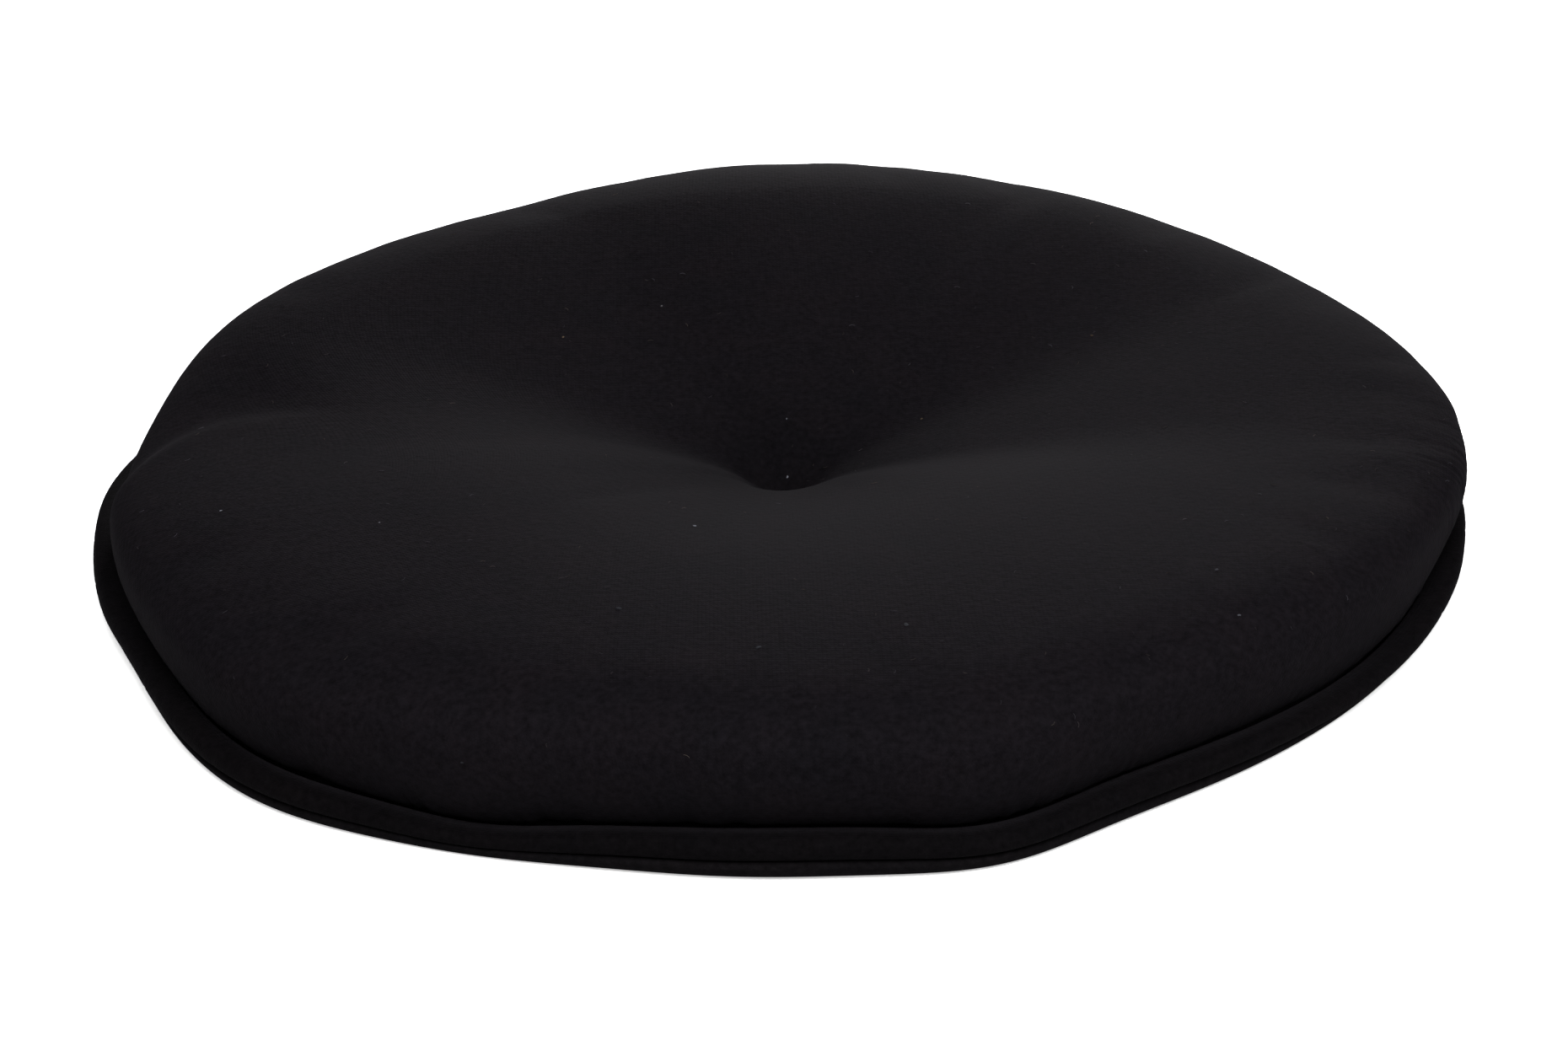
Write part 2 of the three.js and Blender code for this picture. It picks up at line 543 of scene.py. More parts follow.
@dataclass(frozen=True)
class StretchKnit:
    """The finish of a fine black stretch knit with a matte nap; lengths in metres, colours linear.

    A wale is one upright row of stitches, and a course is one row across. cloud_waves is how many soft clouds
    of the warmer shade there are in a metre. mottle is how strongly the matted nap varies in shade, and
    darkest is the least share of the shade that it leaves. painted_hollow_shade is the share of the shade
    left in the seam and the dimple, where a painted shade darkens the knit. The roughness goes from smoothest
    up by rough_range.
    """

    name: str
    shade: tuple[float, float, float]
    warm_shade: tuple[float, float, float]
    wale: float = 1.1 * MM
    course: float = 0.85 * MM
    knit_height: float = 0.05 * MM
    grain_height: float = 0.20 * MM
    grain_size: float = 1.8 * MM
    cloud_waves: float = 55.0
    mottle: float = 1.8
    darkest: float = 0.1
    painted_hollow_shade: float = 1.0
    smoothest: float = 0.82
    rough_range: float = 0.14
    gloss: float = 0.05
    nap: float = 0.035
    nap_roughness: float = 0.45
    nap_tint: tuple[float, float, float] = (0.50, 0.45, 0.53)

    def material(self) -> bpy.types.Material:
        """The finish as a node material that reads the cloth's own UV map and the piece's own place.

        Returns:
            The new material.
        """
        material = bpy.data.materials.new(self.name)
        material.use_nodes = True
        sheet = NodeSheet(material.node_tree)
        place = sheet.add("ShaderNodeTexCoord").outputs["Object"]
        grain = sheet.noise(place, 1.0 / self.grain_size, detail=3.0)
        clouds = sheet.noise(place, self.cloud_waves, detail=4.0)
        shade = sheet.blend(clouds, self.shade, self.warm_shade)
        shader = sheet.add(
            "ShaderNodeBsdfPrincipled",
            {
                "Base Color": sheet.scaled(shade, self._strength(sheet, grain)),
                "Roughness": sheet.math("MULTIPLY_ADD", grain, self.rough_range, self.smoothest),
                "Normal": self._relief(sheet, grain),
                "Specular IOR Level": self.gloss,
                "Sheen Weight": self.nap,
                "Sheen Roughness": self.nap_roughness,
                "Sheen Tint": (*self.nap_tint, 1.0),
            },
        )
        sheet.add("ShaderNodeOutputMaterial", {"Surface": shader.outputs[0]})
        return material

    def _strength(self, sheet: NodeSheet, grain: bpy.types.NodeSocket) -> bpy.types.NodeSocket:
        """How much of the shade shows, by the painted shade in the seam and the dimple and by how matted the
        nap is.

        Args:
            sheet: the material's nodes.
            grain: the nap's grain, from 0 to 1.

        Returns:
            The factor's socket.
        """
        # painted shade: the knit is darker in the seam and the dimple, where shade falls
        clear_of_painted_shade = sheet.attribute("clear_of_painted_shade")
        painted_shade_factor = sheet.math("MULTIPLY_ADD", clear_of_painted_shade, 1.0 - self.painted_hollow_shade, self.painted_hollow_shade)
        matted = sheet.math("MULTIPLY_ADD", grain, self.mottle, 1.0 - 0.5 * self.mottle)
        return sheet.math("MULTIPLY", painted_shade_factor, sheet.math("MAXIMUM", matted, self.darkest))

    def _relief(self, sheet: NodeSheet, grain: bpy.types.NodeSocket) -> bpy.types.NodeSocket:
        """The bumps of the grain with the stitches on them.

        Args:
            sheet: the material's nodes.
            grain: the nap's grain, from 0 to 1.

        Returns:
            The normal's socket.
        """
        cloth = sheet.add("ShaderNodeUVMap", uv_map="Cloth").outputs["UV"]
        stitches = self._stitches(sheet, cloth)
        coarse = {"Strength": 1.0, "Distance": self.grain_height, "Height": grain}
        under = sheet.add("ShaderNodeBump", coarse).outputs[0]
        fine = {"Strength": 1.0, "Distance": self.knit_height, "Height": stitches, "Normal": under}
        return sheet.add("ShaderNodeBump", fine).outputs[0]

    def _stitches(self, sheet: NodeSheet, cloth: bpy.types.NodeSocket) -> bpy.types.NodeSocket:
        """The height of the knit stitches: each wale is a column of V shapes.

        Args:
            sheet: the material's nodes.
            cloth: the place in the flat cloth.

        Returns:
            The height's socket, from 0 to 1.
        """
        parts = sheet.add("ShaderNodeSeparateXYZ", {0: cloth})
        across = sheet.math("FRACT", sheet.math("DIVIDE", parts.outputs[0], self.wale))
        side = sheet.math("ABSOLUTE", sheet.math("SUBTRACT", across, 0.5))
        up = sheet.math("ADD", sheet.math("DIVIDE", parts.outputs[1], self.course), side)
        wave = sheet.math("SINE", sheet.math("MULTIPLY", up, 2 * math.pi))
        column = sheet.math("COSINE", sheet.math("MULTIPLY", side, math.pi))
        return sheet.math("MULTIPLY", sheet.math("MULTIPLY_ADD", wave, 0.5, 0.5), column)


@dataclass(frozen=True)
class LintFluff:
    """The finish of lint, from a bluish white to a tan; colours are linear.

    Each piece of lint brings its own warmth and paleness as attributes. patch_waves is how many patches there
    are in a metre, and patchy is how much warmer or cooler they make it.
    """

    name: str
    cool_shade: tuple[float, float, float]
    warm_shade: tuple[float, float, float]
    patch_waves: float = 4000.0
    patchy: float = 0.5
    roughness: float = 0.9
    gloss: float = 0.1

    def material(self) -> bpy.types.Material:
        """The finish as a node material that reads the lint's own attributes and place.

        Returns:
            The new material.
        """
        material = bpy.data.materials.new(self.name)
        material.use_nodes = True
        sheet = NodeSheet(material.node_tree)
        place = sheet.add("ShaderNodeTexCoord").outputs["Object"]
        patches = sheet.noise(place, self.patch_waves, detail=1.0)
        coolest = sheet.math("SUBTRACT", sheet.attribute("warmth"), 0.5 * self.patchy)
        uneven = sheet.math("MULTIPLY_ADD", patches, self.patchy, coolest)
        shade = sheet.blend(uneven, self.cool_shade, self.warm_shade)
        colour = sheet.scaled(shade, sheet.attribute("pale"))
        inputs = {"Base Color": colour, "Roughness": self.roughness, "Specular IOR Level": self.gloss}
        shader = sheet.add("ShaderNodeBsdfPrincipled", inputs)
        sheet.add("ShaderNodeOutputMaterial", {"Surface": shader.outputs[0]})
        return material


@dataclass
class CoverSettling:
    """Lets the cover settle over its filling: a cloth simulation with pressure, its movement capped.

    stretch is the share by which the knit is stretched over the filling. dimple_hold is how far out from the
    dimple the cover is pulled so tight that it hardly moves. cloth_excess is the share of extra cloth at the
    seam, which the seam gathers. Each point moves as the neighbours places nearest to it do, and those within
    soft_reach count about alike. Lengths are in metres.
    """

    voxel: float = 4.0 * MM
    pressure: float = 4.0
    quality: int = 5
    mass: float = 0.2
    tension: float = 12.0
    compression: float = 8.0
    shear: float = 5.0
    bending: float = 1.0
    stretch: float = 0.015
    frames: int = 20
    cap: float = 1.2 * MM
    held_radius: float = 9.0 * MM
    dimple_hold: float = 90.0 * MM
    held_over_seam: float = 1.5 * MM
    excess_reach: float = 20.0 * MM
    cloth_excess: float = 0.015
    neighbours: int = 5
    soft_reach: float = 0.8 * MM

    def moved(self, surface: RoundSurface, form: CushionForm) -> np.ndarray:
        """The surface's points after the cover has settled.

        Args:
            surface: the closed top with its underside.
            form: the cushion's form, which says where the seam and the dimple are.

        Returns:
            The new points, as an array like the surface's.
        """
        draft = self._even_copy(surface)
        start = self._places(draft.data)
        self._hold(draft, start, form)
        self._set_cloth(draft, start, form)
        for frame in range(1, self.frames + 1):
            bpy.context.scene.frame_set(frame)
        seen = draft.evaluated_get(bpy.context.evaluated_depsgraph_get())
        shift = self._places(seen.to_mesh()) - start
        seen.to_mesh_clear()
        bpy.context.scene.frame_set(1)
        bpy.data.objects.remove(draft)
        length = np.linalg.norm(shift, axis=1, keepdims=True)
        shift *= self.cap * np.tanh(length / self.cap) / np.maximum(length, TINY)
        _, radius = self._polar(start, form)
        shift *= 1 - np.exp(-((radius[:, None] / self.dimple_hold) ** 2))
        furthest = np.linalg.norm(shift, axis=1).max()
        LOG.info("cover settled: %d points, moved %.1f mm at most", len(start), furthest / MM)
        return surface.points + self._carried(surface.points, start, shift)

    def _even_copy(self, surface: RoundSurface) -> bpy.types.Object:
        """A copy of the surface in faces of one size.

        Args:
            surface: the surface.

        Returns:
            The copy, as an object of its own.
        """
        source = surface.build("cover_before_settling")
        remesh = source.modifiers.new("even faces", "REMESH")
        remesh.mode = "VOXEL"
        remesh.voxel_size = self.voxel
        seen = source.evaluated_get(bpy.context.evaluated_depsgraph_get())
        copy = linked("cover_settling", bpy.data.meshes.new_from_object(seen))
        bpy.data.objects.remove(source)
        return copy

    @staticmethod
    def _places(mesh: bpy.types.Mesh) -> np.ndarray:
        """The places of a mesh's vertices.

        Args:
            mesh: the mesh.

        Returns:
            A row of X, Y and Z for each vertex.
        """
        places = np.empty(len(mesh.vertices) * 3, np.float32)
        mesh.vertices.foreach_get("co", places)
        return places.reshape(-1, 3).astype(float)

    @staticmethod
    def _polar(places: np.ndarray, form: CushionForm) -> tuple[np.ndarray, np.ndarray]:
        """The turn and the radius of each place, about the dimple."""
        across, back = places[:, 0] - form.dimple_x, places[:, 1] - form.dimple_y
        return np.arctan2(across, -back) % (2 * math.pi), np.hypot(across, back)

    def _hold(self, draft: bpy.types.Object, start: np.ndarray, form: CushionForm) -> None:
        """Puts all that may not move in a group: the underside up to the seam, and the dimple's bottom.

        Args:
            draft: the copy, which gets the group.
            start: the places of its vertices.
            form: the cushion's form.
        """
        turn, radius = self._polar(start, form)
        held = (radius < self.held_radius) | (start[:, 2] < form.sizes(turn).seam + self.held_over_seam)
        draft.vertex_groups.new(name="held").add(np.flatnonzero(held).tolist(), 1.0, "REPLACE")

    def _set_cloth(self, draft: bpy.types.Object, start: np.ndarray, form: CushionForm) -> None:
        """Gives the copy its cloth, with more of it at the seam than the seam has room for.

        Args:
            draft: the copy, which gets a shape key for the cut of the cloth and the Cloth modifier.
            start: the places of its vertices.
            form: the cushion's form.
        """
        turn, radius = self._polar(start, form)
        inside = (form.sizes(turn).girth - radius) / self.excess_reach
        share = self.cloth_excess * np.clip(1 - inside, 0, 1) ** 2
        wide = start.copy()
        wide[:, 0] += (start[:, 0] - form.dimple_x) * share
        wide[:, 1] += (start[:, 1] - form.dimple_y) * share
        draft.shape_key_add(name="Basis")
        key = draft.shape_key_add(name="cut wide")
        key.data.foreach_set("co", wide.ravel().astype(np.float32))
        key.value = 0.0
        cloth = draft.modifiers.new("filling", "CLOTH")
        settings = cloth.settings
        settings.quality = self.quality
        settings.mass = self.mass
        settings.tension_stiffness = self.tension
        settings.compression_stiffness = self.compression
        settings.shear_stiffness = self.shear
        settings.bending_stiffness = self.bending
        settings.shrink_min = self.stretch
        settings.use_pressure = True
        settings.uniform_pressure_force = self.pressure
        settings.effector_weights.gravity = 0
        settings.vertex_group_mass = "held"
        settings.rest_shape_key = key
        cloth.collision_settings.use_collision = False
        cloth.point_cache.frame_start = 1
        cloth.point_cache.frame_end = self.frames

    def _carried(self, points: np.ndarray, start: np.ndarray, shift: np.ndarray) -> np.ndarray:
        """The shift at each point, from the settled places nearest to it.

        Args:
            points: the points to be moved.
            start: the places before the cover settled.
            shift: how far each of those has moved.

        Returns:
            An array like points.
        """
        tree = kdtree.KDTree(len(start))
        for index, place in enumerate(start):
            tree.insert(place, index)
        tree.balance()
        flat = points.reshape(-1, 3)
        carried = np.zeros_like(flat)
        for row, point in enumerate(flat):
            found = tree.find_n(point, self.neighbours)
            weight = np.array([1 / (distance + self.soft_reach) ** 2 for _, _, distance in found])
            carried[row] = weight @ shift[[index for _, index, _ in found]] / weight.sum()
        return carried.reshape(points.shape)


@dataclass
class FilledTop:
    """The top panel of knit over its filling, closed underneath where nobody sees it; lengths in metres.

    The gathers are sine waves round the rim, each gather_phase radians on from the one before. Nearer than
    seam_hold to the seam everything fades out, because the seam holds the cover there. fold_lift is how much
    of a fold's depth its front side is lifted, fold_start is how far from the seam its depth builds up, and
    steepest keeps the step at its lip within what a number can hold. painted_shade_reach_from_seam and
    painted_shade_reach_from_dimple are how far from the seam and from the dimple a painted shade darkens the
    knit.
    """

    form: CushionForm
    knit: StretchKnit
    settling: CoverSettling = field(default_factory=CoverSettling)
    facets: int = 1200
    dimple_rings: int = 34
    shoulder_rings: int = 26
    tuck_rings: int = 14
    dimple_crowding: float = 1.4
    gather_waves: tuple[int, ...] = (89, 127, 163, 211)
    gather_phase: float = 1.7
    gather_power: float = 1.3
    gather_depth: float = 0.3 * MM
    gather_reach: float = 14 * MM
    seam_hold: float = 2 * MM
    fold_lift: float = 0.35
    fold_start: float = 12 * MM
    steepest: float = 30.0
    painted_shade_reach_from_seam: float = 12 * MM
    painted_shade_power_at_seam: float = 1.5
    painted_shade_reach_from_dimple: float = 30 * MM
    puckers: tuple[Pucker, ...] = (
        Pucker(339, 0.9, 26, 0.9),
        Pucker(341.5, 0.8, 20, 0.8),
        Pucker(351, 0.9, 24, 0.8),
        Pucker(355, 0.8, 18, 0.7),
        Pucker(8, 0.8, 16, 0.5),
        Pucker(318, 1.1, 20, 0.7),
    )
    zones: tuple[GatherZone, ...] = (
        GatherZone(82, 7, 1.6, 26),
        GatherZone(332, 9, 0.7, 18),
        GatherZone(20, 6, 0.6, 16),
        GatherZone(205, 14, 0.5, 18),
    )
    folds: tuple[Fold, ...] = (
        Fold(262, 23, 9, 6, 0.9, 54, 2.4),
        Fold(92, 3, 7, 6, 1.0, 40, 0.9),
    )

    def build(self) -> bpy.types.Object:
        """Builds the top, lets its cover settle, draws its seam's gathers in, and dresses it.

        Returns:
            The finished piece.
        """
        turn = turns(self.facets)
        rings = self._shown_rings(turn)
        shown = len(rings)
        neck = self.form.sizes(turn).sewn - self.form.groove
        floor = self.form.panel_thick + self.form.sewn_gap
        rings += [(neck, floor), (neck / 2, floor)]
        points = np.stack([self.form.placed(turn, *ring) for ring in rings])
        centre = self.form.placed(turn[:1], np.zeros(1), self.form.dimple_bottom)[0]
        surface = RoundSurface(points, cloth_disc(points, turn, centre), Closing.POLES)
        surface.points[:shown] = self.settling.moved(surface, self.form)[:shown]
        from_seam = self._from_seam(surface, shown)
        self._draw_in(surface, turn, from_seam)
        piece = surface.build("filled_top")
        piece.data.materials.append(self.knit.material())
        self._mark_painted_shade(piece, from_seam)
        return piece

    def _shown_rings(self, turn: np.ndarray) -> list[tuple[np.ndarray, np.ndarray]]:
        """The rings that show, from the dimple out over the shoulder and in to the seam.

        Args:
            turn: the facets' turns in radians.

        Returns:
            The radius and the height at each turn, for each ring.
        """
        rim = self.form.sizes(turn)
        rings = []
        for step in range(1, self.dimple_rings + 1):
            rings.append(self.form.dimple((step / self.dimple_rings) ** self.dimple_crowding, rim))
        for step in range(1, self.shoulder_rings + 1):
            rings.append(self.form.shoulder(step / self.shoulder_rings, rim))
        for step in range(1, self.tuck_rings + 1):
            rings.append(self.form.tuck(step / self.tuck_rings, rim))
        return rings

    @staticmethod
    def _from_seam(surface: RoundSurface, shown: int) -> np.ndarray:
        """How far each point of the rings that show lies from the seam, along the cover."""
        steps = np.linalg.norm(np.diff(surface.points[:shown], axis=0), axis=-1)
        return np.concatenate([np.cumsum(steps[::-1], axis=0)[::-1], np.zeros((1, steps.shape[1]))])

    def _draw_in(self, surface: RoundSurface, turn: np.ndarray, from_seam: np.ndarray) -> None:
        """Adds the seam's gathers and puckers and the folds to the rings that show.

        Args:
            surface: the top, which is changed.
            turn: the facets' turns in radians.
            from_seam: how far each point lies from the seam, for the rings that show.
        """
        shown = len(from_seam)
        counts = enumerate(self.gather_waves)
        waves = sum(np.sin(count * turn + self.gather_phase * number) for number, count in counts)
        valleys = -np.abs(waves / len(self.gather_waves)) ** self.gather_power
        rise = self._near_seam(from_seam, self.gather_reach) * self.gather_depth * valleys
        for zone in self.zones:
            depth = zone.depth * MM * bell(turn, zone.turn, zone.spread)
            rise += self._near_seam(from_seam, zone.reach * MM) * depth * valleys
        for pucker in self.puckers:
            valley = bell(turn, pucker.turn, pucker.width)
            rise -= self._near_seam(from_seam, pucker.length * MM) * pucker.depth * MM * valley
        for fold in self.folds:
            rise += self._near_seam(from_seam, fold.length * MM) * self._fold_rise(fold, turn, from_seam)
        surface.points[:shown] += rise[..., None] * surface.normals()[:shown]

    def _fold_rise(self, fold: Fold, turn: np.ndarray, from_seam: np.ndarray) -> np.ndarray:
        """How far a fold lifts the cover in front of it and lowers the cover behind it.

        Args:
            fold: the fold.
            turn: the facets' turns in radians.
            from_seam: how far each point lies from the seam.

        Returns:
            The rise in metres, as an array like from_seam.
        """
        left = np.clip(1 - from_seam / (fold.length * MM), 0, 1)
        past = degrees_past(turn[None, :] - np.radians(fold.lean * left**2), fold.turn)
        front = 1 / (1 + np.exp(-np.clip(past / fold.lip, -self.steepest, self.steepest)))
        lifted = self.fold_lift * np.exp(-((past / fold.before) ** 2))
        lowered = np.exp(-((past / fold.behind) ** 2))
        strength = fold.depth * MM * (1 - np.exp(-((from_seam / self.fold_start) ** 2)))
        return strength * (front * lifted - (1 - front) * lowered)

    def _near_seam(self, from_seam: np.ndarray, reach: float) -> np.ndarray:
        """A share that is 0 at the seam, 1 close to it, and fades out over a reach."""
        return np.clip(from_seam / self.seam_hold, 0, 1) * np.exp(-((from_seam / reach) ** 2))

    def _mark_painted_shade(self, piece: bpy.types.Object, from_seam: np.ndarray) -> None:
        """Marks how clear of the painted shade the knit is: 1 on the open top, and 0 in the seam and the
        dimple.

        Args:
            piece: the top, which gets the attribute.
            from_seam: how far each point lies from the seam, for the rings that show.
        """
        places = np.array([vertex.co for vertex in piece.data.vertices])
        across, back = places[:, 0] - self.form.dimple_x, places[:, 1] - self.form.dimple_y
        from_dimple = np.hypot(across, back)
        clear_of_painted_shade = np.zeros(len(places), np.float32)
        # painted shade: 0 in the seam and the dimple, where shade falls, and 1 on the open top
        painted_shade_factor = 1 - np.exp(-((from_seam / self.painted_shade_reach_from_seam) ** self.painted_shade_power_at_seam))
        clear_of_painted_shade[: from_seam.size] = painted_shade_factor.ravel()
        clear_of_painted_shade *= 1 - np.exp(-((from_dimple / self.painted_shade_reach_from_dimple) ** 2))
        piece.data.attributes.new("clear_of_painted_shade", "FLOAT", "POINT").data.foreach_set("value", clear_of_painted_shade)


class RepeatTree:
    """A Geometry Nodes tree with named inputs, which is run once on a mesh and leaves a plain mesh."""

    def __init__(self, name: str, inputs: dict[str, float | int]) -> None:
        """Starts the tree with its named inputs.

        Args:
            name: the tree's name.
            inputs: each input's name and value; a whole number makes a whole-number input.
        """
        self.tree = bpy.data.node_groups.new(name, "GeometryNodeTree")
        self.sheet = NodeSheet(self.tree)
        self.values: dict[str, float | int] = {}
        self.tree.interface.new_socket("Geometry", in_out="INPUT", socket_type="NodeSocketGeometry")
        for label, value in inputs.items():
            kind = "NodeSocketInt" if isinstance(value, int) else "NodeSocketFloat"
            socket = self.tree.interface.new_socket(label, in_out="INPUT", socket_type=kind)
            self.values[socket.identifier] = value
        self.tree.interface.new_socket("Geometry", in_out="OUTPUT", socket_type="NodeSocketGeometry")
        self.inputs = self.sheet.add("NodeGroupInput").outputs

    def close(self, instances: bpy.types.NodeSocket, material: bpy.types.Material) -> None:
        """Ends the tree: the instances become real and get their material.

        Args:
            instances: the instances' socket.
            material: their material.
        """
        real = self.sheet.add("GeometryNodeRealizeInstances", {"Geometry": instances}).outputs[0]
        inputs = {"Geometry": real, "Material": material}
        dressed = self.sheet.add("GeometryNodeSetMaterial", inputs).outputs[0]
        self.sheet.add("NodeGroupOutput", {0: dressed})

    def run(self, name: str, carrier: bpy.types.Object) -> bpy.types.Object:
        """Runs the tree on a carrier and returns the result.

        Args:
            name: the new piece's name.
            carrier: the object that the tree works on; its modifier is removed again.

        Returns:
            The new piece, linked to the scene.
        """
        modifier = carrier.modifiers.new(name, "NODES")
        modifier.node_group = self.tree
        for identifier, value in self.values.items():
            modifier[identifier] = value
        seen = carrier.evaluated_get(bpy.context.evaluated_depsgraph_get())
        piece = linked(name, bpy.data.meshes.new_from_object(seen))
        carrier.modifiers.remove(modifier)
        return piece


@dataclass
class Lint:
    """What clings to the worn black nap: a few specks of fluff, and short stray fibres all over the top.

    A tuft is a small ball with bumps, and a speck is a tuft made as long as the speck, speck_width as wide
    and speck_height as high. A fibre is a bent tube through fibre_bend, which is for a length of 1. The
    fibres lie where the cover looks up by more than least_upward, are shortest to 1 of their length, and
    least_pale to 1 pale. Lengths are in metres.
    """

    finish: LintFluff
    specks: tuple[LintSpeck, ...] = (
        LintSpeck(934, 566, 0.9, 0.0, 0.8),
        LintSpeck(824, 624, 1.2, 0.1, 0.8),
        LintSpeck(262, 606, 0.8, 0.0, 1.2),
        LintSpeck(450, 620, 0.6, 0.3, 1.0),
        LintSpeck(734, 722, 1.7, 0.0, 0.13),
        LintSpeck(900, 768, 1.6, 0.0, 0.15),
        LintSpeck(1075, 741, 1.6, 0.1, 0.2),
        LintSpeck(1443, 676, 1.3, 0.2, 0.22),
        LintSpeck(1470, 730, 1.1, 0.2, 0.35),
        LintSpeck(548, 905, 0.9, 0.1, 0.12),
        LintSpeck(1295, 398, 1.1, 1.0, 0.4),
        LintSpeck(1093, 497, 1.0, 1.0, 0.5),
        LintSpeck(668, 400, 0.9, 1.0, 1.0),
        LintSpeck(785, 363, 0.9, 0.4, 0.6),
        LintSpeck(933, 497, 0.8, 0.2, 0.5),
    )
    tuft_radius: float = 0.5 * MM
    tuft_levels: int = 2
    tuft_waves: float = 3500.0
    tuft_bumps: float = 1.1 * MM
    speck_width: float = 0.6
    speck_height: float = 0.35
    fibres_per_area: float = 2600.0
    fibre_length: float = 1.8 * MM
    fibre_thickness: float = 0.06 * MM
    fibre_bend: tuple[tuple[float, float, float], ...] = ((-0.5, 0, 0.02), (0.05, 0.35, 0.12), (0.5, 0, 0.03))
    fibre_steps: int = 4
    fibre_sides: int = 3
    least_upward: float = 0.25
    shortest: float = 0.35
    least_pale: float = 0.25
    seed: int = 7
    warmth_seed: int = 6
    pale_seed: int = 4

    def build_specks(self, top: bpy.types.Object, studio: Studio) -> bpy.types.Object:
        """Builds the specks where they cling, each a squashed tuft that lies on the nap.

        Args:
            top: the finished top.
            studio: the studio, whose camera sees each speck at its pixel.

        Returns:
            The finished piece.
        """
        corners = [vertex.co for vertex in top.data.vertices]
        shape = BVHTree.FromPolygons(corners, [tuple(face.vertices) for face in top.data.polygons])
        found = [shape.ray_cast(*studio.sight(speck.column, speck.row)) for speck in self.specks]
        mesh = bpy.data.meshes.new("speck_places")
        mesh.from_pydata([place for place, *_ in found], [], [])
        facing = np.array([normal for _, normal, *_ in found], np.float32)
        mesh.attributes.new("facing", "FLOAT_VECTOR", "POINT").data.foreach_set("vector", facing.ravel())
        for column in ("length", "warmth", "pale"):
            values = np.array([getattr(speck, column) for speck in self.specks], np.float32)
            mesh.attributes.new(column, "FLOAT", "POINT").data.foreach_set("value", values)
        places = linked("speck_places", mesh)
        piece = self._speck_tree().run("lint_specks", places)
        bpy.data.objects.remove(places)
        return piece

    def build_fibres(self, top: bpy.types.Object) -> bpy.types.Object:
        """Builds the stray fibres, scattered over all that lies open on the top."""
        return self._fibre_tree().run("lint_fibres", top)

    def _speck_tree(self) -> RepeatTree:
        """A tuft on each point, turned to its facing and as long as its length.

        Returns:
            The finished tree.
        """
        repeat = RepeatTree("lint specks", {"Squash": self.speck_height, "Seed": self.seed})
        sheet = repeat.sheet
        facing = self._own(sheet, "facing", "FLOAT_VECTOR")
        upright = sheet.add("FunctionNodeAlignRotationToVector", {"Vector": facing}, axis="Z").outputs[0]
        length = self._own(sheet, "length", "FLOAT")
        width = sheet.math("MULTIPLY", length, self.speck_width)
        height = sheet.math("MULTIPLY", length, repeat.inputs["Squash"])
        inputs = {
            "Points": repeat.inputs["Geometry"],
            "Instance": self._tuft(sheet),
            "Rotation": self._turned(sheet, upright, repeat.inputs["Seed"]),
            "Scale": sheet.add("ShaderNodeCombineXYZ", {0: length, 1: width, 2: height}).outputs[0],
        }
        repeat.close(sheet.add("GeometryNodeInstanceOnPoints", inputs).outputs[0], self.finish.material())
        return repeat

    def _tuft(self, sheet: NodeSheet) -> bpy.types.NodeSocket:
        """A small ball with bumps.

        Args:
            sheet: the tree's nodes.

        Returns:
            The tuft's socket.
        """
        round_ball = {"Radius": self.tuft_radius, "Subdivisions": self.tuft_levels}
        ball = sheet.add("GeometryNodeMeshIcoSphere", round_ball).outputs[0]
        bumps = sheet.add("ShaderNodeTexNoise", {"Scale": self.tuft_waves, "Detail": 1.0}).outputs["Color"]
        centred = {0: bumps, 1: (0.5, 0.5, 0.5)}
        middle = sheet.add("ShaderNodeVectorMath", centred, operation="SUBTRACT").outputs[0]
        push = sheet.scaled(middle, self.tuft_bumps)
        return sheet.add("GeometryNodeSetPosition", {"Geometry": ball, "Offset": push}).outputs[0]

    def _fibre_tree(self) -> RepeatTree:
        """Short bent fibres, scattered over the faces that look up.

        Returns:
            The finished tree.
        """
        values = {"Fibres per area": self.fibres_per_area, "Length": self.fibre_length, "Seed": self.seed}
        repeat = RepeatTree("lint fibres", {**values, "Thickness": self.fibre_thickness})
        sheet = repeat.sheet
        normal = sheet.add("GeometryNodeInputNormal").outputs[0]
        upward = sheet.add("ShaderNodeSeparateXYZ", {0: normal}).outputs[2]
        limit = {0: upward, 1: self.least_upward}
        is_open = sheet.add("FunctionNodeCompare", limit, operation="GREATER_THAN").outputs[0]
        inputs = {
            "Mesh": repeat.inputs["Geometry"],
            "Selection": is_open,
            "Density": repeat.inputs["Fibres per area"],
            "Seed": repeat.inputs["Seed"],
        }
        spread = sheet.add("GeometryNodeDistributePointsOnFaces", inputs).outputs
        sizes = sheet.random(self.shortest, 1.0, repeat.inputs["Seed"])
        points = spread["Points"]
        traits = (("warmth", 0.0, self.warmth_seed), ("pale", self.least_pale, self.pale_seed))
        for name, least, seed in traits:
            inputs = {"Geometry": points, "Name": name, "Value": sheet.random(least, 1.0, seed)}
            points = sheet.add("GeometryNodeStoreNamedAttribute", inputs, data_type="FLOAT").outputs[0]
        inputs = {
            "Points": points,
            "Instance": self._fibre(repeat),
            "Rotation": self._turned(sheet, spread["Rotation"], repeat.inputs["Seed"]),
            "Scale": sheet.math("MULTIPLY", sizes, repeat.inputs["Length"]),
        }
        repeat.close(sheet.add("GeometryNodeInstanceOnPoints", inputs).outputs[0], self.finish.material())
        return repeat

